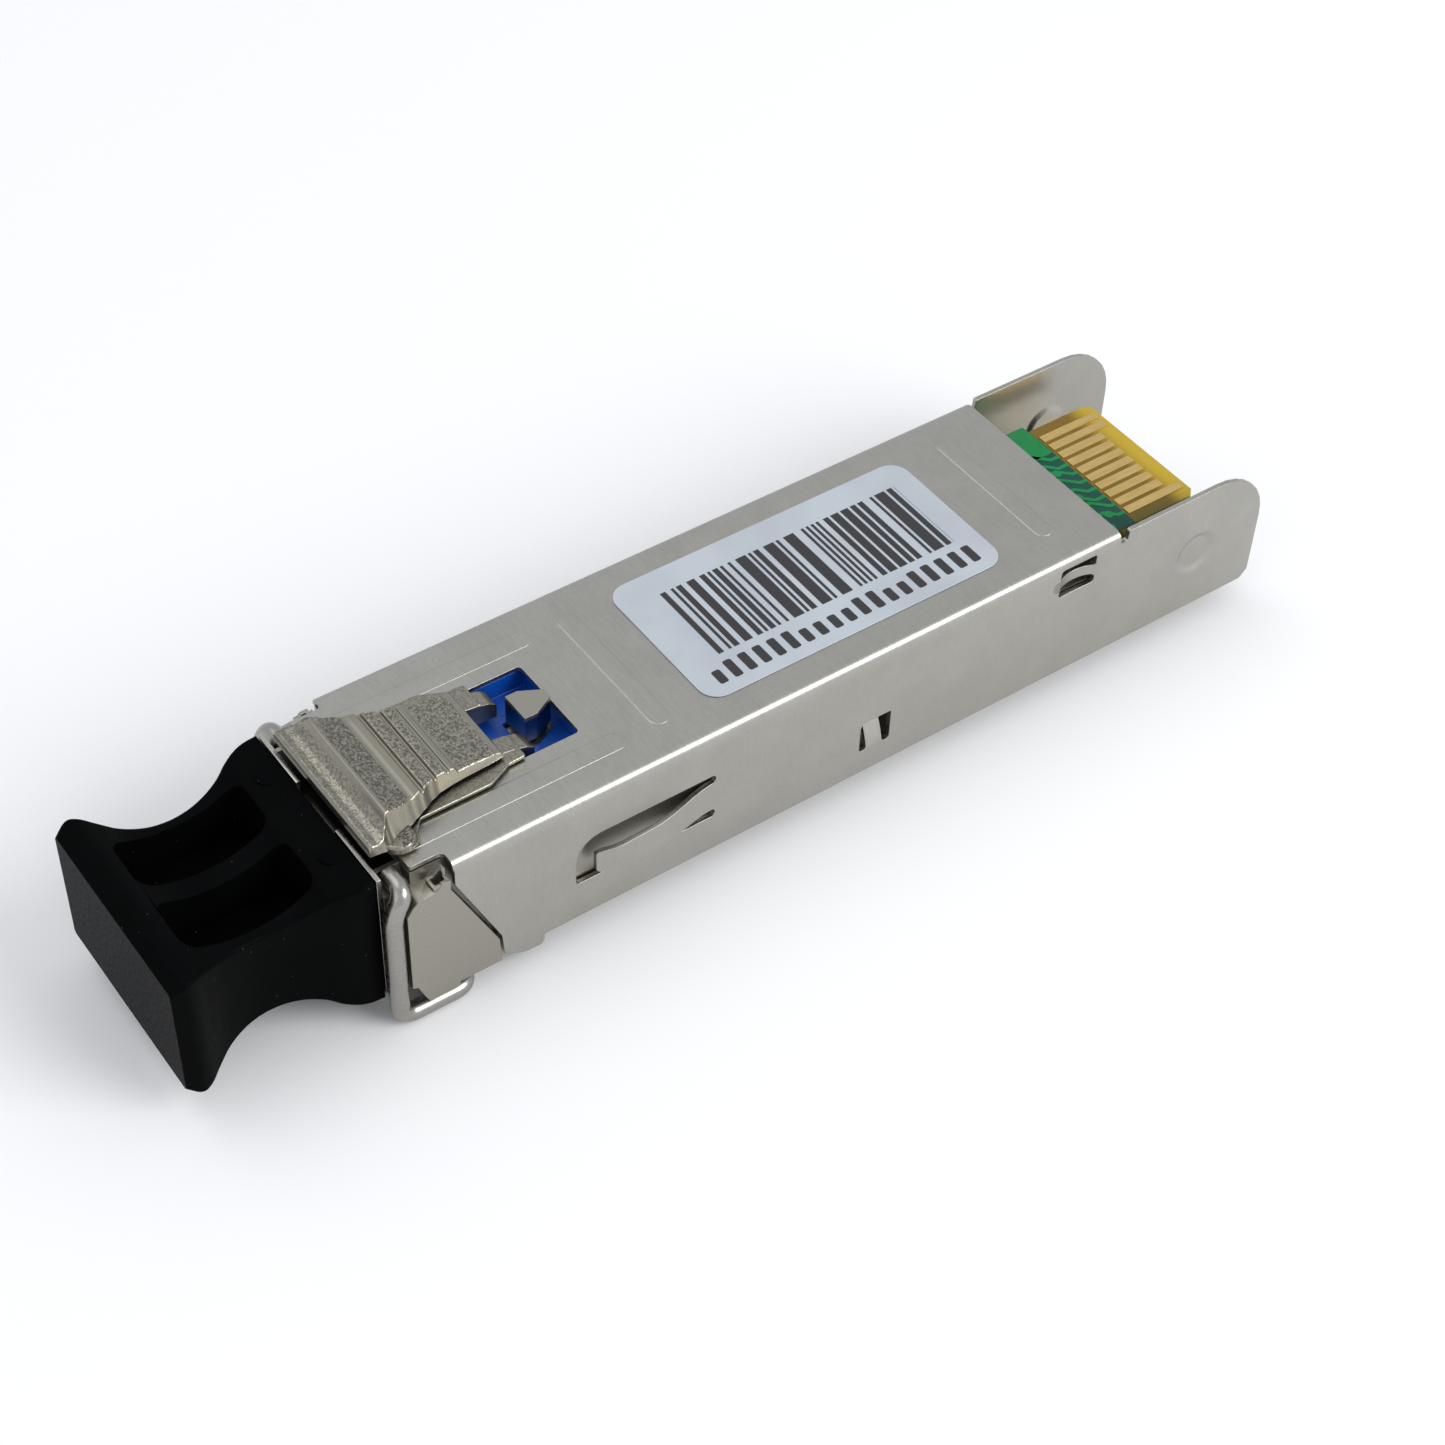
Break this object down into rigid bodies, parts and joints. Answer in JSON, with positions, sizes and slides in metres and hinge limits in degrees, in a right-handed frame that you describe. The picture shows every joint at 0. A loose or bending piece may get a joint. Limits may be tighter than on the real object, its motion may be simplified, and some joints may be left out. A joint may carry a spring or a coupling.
{
  "type": "optical transceiver module",
  "caption": "Pluggable duplex-port optical transceiver with a die-cast base, folded steel cover, wire bail latch, edge connector and removable dust plug.",
  "frame": {"origin": "on the module's flat underside, on the centre line, straight below the latch boss's front shoulder", "axes": "+Z from the flat underside towards the latch and label side, +Y along the module towards the edge connector, +X to the right when looking along +Y"},
  "size_m": [0.0144, 0.0672, 0.012],
  "materials": {
    "cast_zinc": "nickel-plated zinc die casting, fine satin",
    "cover_steel": "nickel-plated folded sheet steel, warm satin",
    "bezel_steel": "nickel-plated sheet steel, satin with a bright sheared edge",
    "insert_blue": "moulded plastic, bright blue",
    "label_film": null,
    "board_green": "green solder mask on a glass epoxy board",
    "contact_gold": "hard gold plating",
    "chip_black": "black moulding compound",
    "pad_grey": "soft grey thermal gap pad",
    "ferrite_grey": "dark ferrite",
    "capacitor_tan": "tan ceramic with tinned ends",
    "holder_plastic": "black glass-filled plastic",
    "optics_steel": "turned stainless steel",
    "ceramic_white": "polished white zirconia",
    "can_gold": "gold-plated metal can",
    "flex_amber": "amber polyimide flexible circuit",
    "wire_steel": "nickel-plated spring wire, smooth",
    "actuator_zinc": "nickel-plated zinc casting, coarse blasted grain",
    "plug_black": "soft black moulded plastic, satin"
  },
  "bodies": {
    "module": {"base_casting": "cast_zinc", "steel_cover": "cover_steel", "front_bezel": "bezel_steel", "latch_insert": "insert_blue", "label": "label_film", "circuit_board": "board_green", "contact_01": "contact_gold", "contact_02": "contact_gold", "contact_03": "contact_gold", "contact_04": "contact_gold", "contact_05": "contact_gold", "contact_06": "contact_gold", "contact_07": "contact_gold", "contact_08": "contact_gold", "contact_09": "contact_gold", "contact_10": "contact_gold", "contact_11": "contact_gold", "contact_12": "contact_gold", "contact_13": "contact_gold", "contact_14": "contact_gold", "contact_15": "contact_gold", "contact_16": "contact_gold", "contact_17": "contact_gold", "contact_18": "contact_gold", "contact_19": "contact_gold", "contact_20": "contact_gold", "laser_driver": "chip_black", "limiting_amplifier": "chip_black", "microcontroller": "chip_black", "memory_chip": "chip_black", "thermal_pad": "pad_grey", "transmit_inductor": "ferrite_grey", "receive_inductor": "ferrite_grey", "transmit_filter_capacitor": "capacitor_tan", "receive_filter_capacitor": "capacitor_tan", "transmit_coupling_capacitor": "capacitor_tan", "receive_coupling_capacitor": "capacitor_tan", "optics_holder": "holder_plastic", "optics_clamp": "bezel_steel", "clamp_screw": "optics_steel", "transmitter_barrel": "optics_steel", "transmitter_sleeve": "ceramic_white", "transmitter_fibre_stub": "ceramic_white", "transmitter_can": "can_gold", "transmitter_flex": "flex_amber", "receiver_barrel": "optics_steel", "receiver_sleeve": "ceramic_white", "receiver_fibre_stub": "ceramic_white", "receiver_can": "can_gold", "receiver_flex": "flex_amber"},
    "bail": {"bail_wire": "wire_steel"},
    "actuator": {"latch_actuator": "actuator_zinc"},
    "plug": {"dust_plug": "plug_black"}
  },
  "joints": [
    {"name": "bail_swing", "type": "hinge", "parent": "module", "child": "bail", "pos_m": [0, -0.0103, 0.0079], "axis": [-1, 0, 0], "range_deg": [0, 50]},
    {"name": "actuator_slide", "type": "slide", "parent": "module", "child": "actuator", "axis": [0, 1, 0], "range_m": [0, 0.0015]},
    {"name": "plug_slide", "type": "slide", "parent": "module", "child": "plug", "axis": [0, -1, 0], "range_m": [0, 0.014]}
  ]
}
